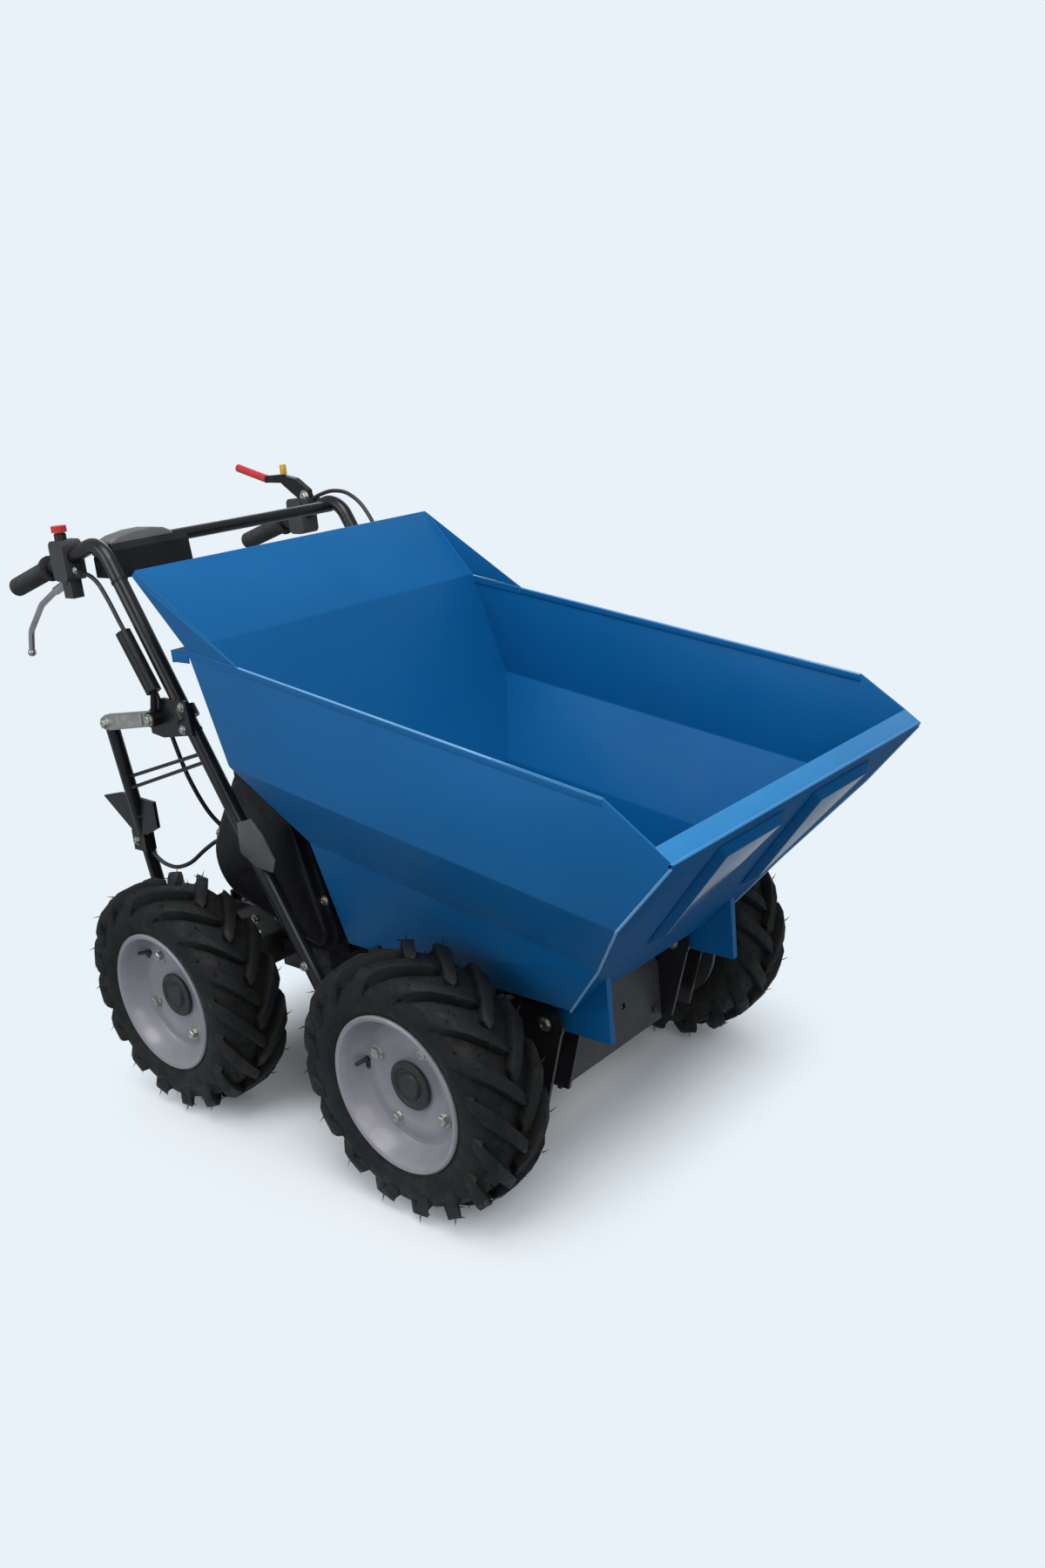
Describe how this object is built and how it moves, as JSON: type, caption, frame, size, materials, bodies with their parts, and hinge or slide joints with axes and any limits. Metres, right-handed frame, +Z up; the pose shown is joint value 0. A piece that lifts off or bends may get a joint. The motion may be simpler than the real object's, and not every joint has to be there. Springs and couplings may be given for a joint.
{
  "type": "site dumper",
  "caption": "Walk-behind four-wheel site dumper with a tipping sheet-steel bucket, a petrol engine behind it and two handlebar grips with levers.",
  "frame": {"origin": "on the floor under the middle of the whole machine's bounding box", "axes": "+X forward towards the bucket's lip, +Y to the operator's left, +Z up"},
  "size_m": [1.362, 0.726, 0.9642],
  "materials": {
    "bucket_paint": "gloss blue powder coat",
    "chassis_paint": "semi-gloss black powder coat",
    "black_plastic": "fine grained black moulding",
    "engine_casting": "as cast",
    "tank_paint": "gloss black",
    "silencer_steel": "dull heat-stained steel",
    "grip_rubber": "ribbed black rubber",
    "lever_alloy": "cast alloy, lightly polished",
    "red_plastic": "glossy red dip",
    "tyre_rubber": "matt black rubber",
    "rim_paint": "satin grey enamel",
    "hub_black": "black cap"
  },
  "bodies": {
    "chassis": {"air_filter": "black_plastic", "axle_housing_front": "chassis_paint", "axle_housing_rear": "chassis_paint", "belt_cover": "black_plastic", "brake_lever": "black_plastic", "brake_lever_sleeve": "red_plastic", "bucket_buffers": "grip_rubber", "cable_left": "black_plastic", "cables_right": "black_plastic", "carburettor": "engine_casting", "control_console": "black_plastic", "cover_bracket": "chassis_paint", "cross_members": "chassis_paint", "drive_lever": "lever_alloy", "drive_shaft": "chassis_paint", "engine_crankcase": "engine_casting", "engine_cylinder": "engine_casting", "engine_deck": "chassis_paint", "frame_rail_left": "chassis_paint", "frame_rail_right": "chassis_paint", "front_plate": "chassis_paint", "fuel_tank": "tank_paint", "grip_left": "grip_rubber", "grip_right": "grip_rubber", "handle_cross_tube": "chassis_paint", "handle_left": "chassis_paint", "handle_right": "chassis_paint", "lever_perch_left": "black_plastic", "lever_perch_right": "black_plastic", "pivot_yoke_left": "chassis_paint", "pivot_yoke_right": "chassis_paint", "recoil_starter": "black_plastic", "shift_arm": "lever_alloy", "shift_bracket": "chassis_paint", "shift_lever": "black_plastic", "shift_rod": "chassis_paint", "shift_shaft": "chassis_paint", "shift_stays": "chassis_paint", "silencer": "silencer_steel", "stop_switch": "red_plastic"},
    "bucket": {"bucket_side_left": "bucket_paint", "bucket_side_right": "bucket_paint", "bucket_pan": "bucket_paint", "headboard": "bucket_paint", "rear_flange": "bucket_paint", "front_ribs": "bucket_paint", "pivot_lug_left": "bucket_paint", "pivot_lug_right": "bucket_paint"},
    "wheel_front_left": {"tyre_front_left": "tyre_rubber", "rim_front_left": "rim_paint", "hub_front_left": "hub_black"},
    "wheel_front_right": {"tyre_front_right": "tyre_rubber", "rim_front_right": "rim_paint", "hub_front_right": "hub_black"},
    "wheel_rear_left": {"tyre_rear_left": "tyre_rubber", "rim_rear_left": "rim_paint", "hub_rear_left": "hub_black"},
    "wheel_rear_right": {"tyre_rear_right": "tyre_rubber", "rim_rear_right": "rim_paint", "hub_rear_right": "hub_black"}
  },
  "joints": [
    {"name": "bucket_tip", "type": "hinge", "parent": "chassis", "child": "bucket", "pos_m": [0.365, 0, 0.25], "axis": [0, 1, 0], "range_deg": [0, 75]},
    {"name": "wheel_front_left_spin", "type": "hinge", "parent": "chassis", "child": "wheel_front_left", "pos_m": [0.241, 0, 0.19], "axis": [0, 1, 0], "continuous": true},
    {"name": "wheel_front_right_spin", "type": "hinge", "parent": "chassis", "child": "wheel_front_right", "pos_m": [0.241, 0, 0.19], "axis": [0, 1, 0], "continuous": true},
    {"name": "wheel_rear_left_spin", "type": "hinge", "parent": "chassis", "child": "wheel_rear_left", "pos_m": [-0.291, 0, 0.19], "axis": [0, 1, 0], "continuous": true},
    {"name": "wheel_rear_right_spin", "type": "hinge", "parent": "chassis", "child": "wheel_rear_right", "pos_m": [-0.291, 0, 0.19], "axis": [0, 1, 0], "continuous": true}
  ]
}
